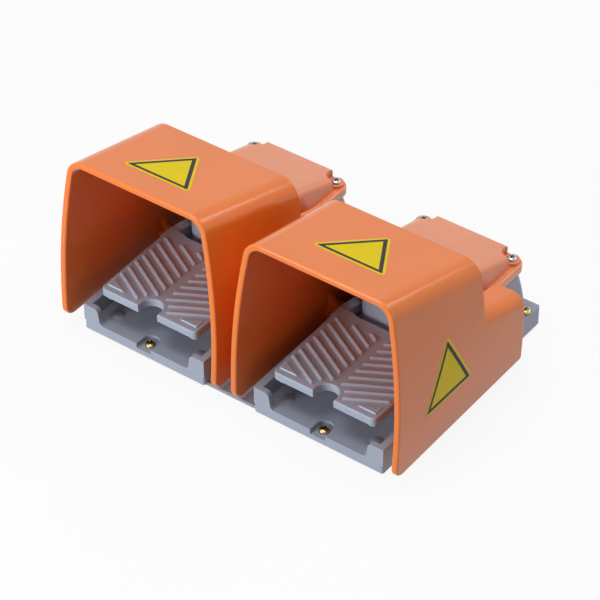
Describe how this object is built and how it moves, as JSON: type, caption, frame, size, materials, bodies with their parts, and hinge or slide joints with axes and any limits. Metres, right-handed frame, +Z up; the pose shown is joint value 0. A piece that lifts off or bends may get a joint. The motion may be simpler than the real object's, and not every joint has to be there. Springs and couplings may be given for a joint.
{
  "type": "guarded foot switch",
  "caption": "Twin industrial foot switch: hooded ribbed pedals on cast bases, terminal covers and cord glands, side by side on a flat joining plate.",
  "frame": {"origin": "centre of the bounding box's bottom face, at floor level, midway between the two switches", "axes": "+X to the right switch as the user's foot comes in, +Y from the toe end to the cable end, +Z up"},
  "size_m": [0.317, 0.2349, 0.1635],
  "materials": {
    "cast_grey": "satin grey paint on die-cast aluminium",
    "pedal_grey": "satin grey paint on die-cast aluminium",
    "hood_orange": "glossy orange paint on die-cast aluminium",
    "cover_orange": "satin orange paint on die-cast aluminium",
    "plate_grey": "plain grey steel sheet",
    "yellow_zinc": "yellow chromate zinc plate",
    "bright_zinc": "bright zinc plate",
    "shaft_steel": "ground steel",
    "lever_steel": "zinc plated steel",
    "spring_steel": "spring wire",
    "bush_bronze": "sintered bronze",
    "terminal_brass": "brass",
    "plunger_white": "moulded acetal",
    "block_black": "moulded phenolic",
    "gland_black": "moulded nylon",
    "seal_rubber": "matte rubber"
  },
  "bodies": {
    "frame": {"joining_plate": "plate_grey", "left_base_casting": "cast_grey", "left_terminal_cover": "cover_orange", "left_cover_gasket": "seal_rubber", "left_cover_screws": "bright_zinc", "left_guard_hood": "hood_orange", "left_hood_screws": "bright_zinc", "left_base_screws": "yellow_zinc", "left_pivot_bushes": "bush_bronze", "left_return_springs": "spring_steel", "left_contact_block": "block_black", "left_terminal_screws": "terminal_brass", "left_block_bracket": "lever_steel", "left_gland_body": "gland_black", "left_gland_nut": "gland_black", "left_gland_seal": "seal_rubber", "right_base_casting": "cast_grey", "right_terminal_cover": "cover_orange", "right_cover_gasket": "seal_rubber", "right_cover_screws": "bright_zinc", "right_guard_hood": "hood_orange", "right_hood_screws": "bright_zinc", "right_base_screws": "yellow_zinc", "right_pivot_bushes": "bush_bronze", "right_return_springs": "spring_steel", "right_contact_block": "block_black", "right_terminal_screws": "terminal_brass", "right_block_bracket": "lever_steel", "right_gland_body": "gland_black", "right_gland_nut": "gland_black", "right_gland_seal": "seal_rubber"},
    "left_treadle": {"left_pedal": "pedal_grey", "left_pivot_shaft": "shaft_steel", "left_shaft_pins": "shaft_steel", "left_cam_lever": "lever_steel", "left_cam_pin": "shaft_steel"},
    "left_push_rod": {"left_plunger": "plunger_white"},
    "right_treadle": {"right_pedal": "pedal_grey", "right_pivot_shaft": "shaft_steel", "right_shaft_pins": "shaft_steel", "right_cam_lever": "lever_steel", "right_cam_pin": "shaft_steel"},
    "right_push_rod": {"right_plunger": "plunger_white"}
  },
  "joints": [
    {"name": "left_pedal_hinge", "type": "hinge", "parent": "frame", "child": "left_treadle", "pos_m": [-0.0825, 0.0317, 0.026], "axis": [1, 0, 0], "range_deg": [0, 9], "stiffness_Nm_per_rad": 4, "springref_deg": -20.05, "deforming": ["left_return_springs"]},
    {"name": "left_push_rod_slide", "type": "slide", "parent": "frame", "child": "left_push_rod", "axis": [0, 0, 1], "range_m": [0, 0.0032]},
    {"name": "right_pedal_hinge", "type": "hinge", "parent": "frame", "child": "right_treadle", "pos_m": [0.0825, 0.0317, 0.026], "axis": [1, 0, 0], "range_deg": [0, 9], "stiffness_Nm_per_rad": 4, "springref_deg": -20.05, "deforming": ["right_return_springs"]},
    {"name": "right_push_rod_slide", "type": "slide", "parent": "frame", "child": "right_push_rod", "axis": [0, 0, 1], "range_m": [0, 0.0032]}
  ],
  "couplings": [
    {"joint": "left_push_rod_slide", "follows": "left_pedal_hinge", "m_per_rad": 0.02},
    {"joint": "right_push_rod_slide", "follows": "right_pedal_hinge", "m_per_rad": 0.02}
  ]
}
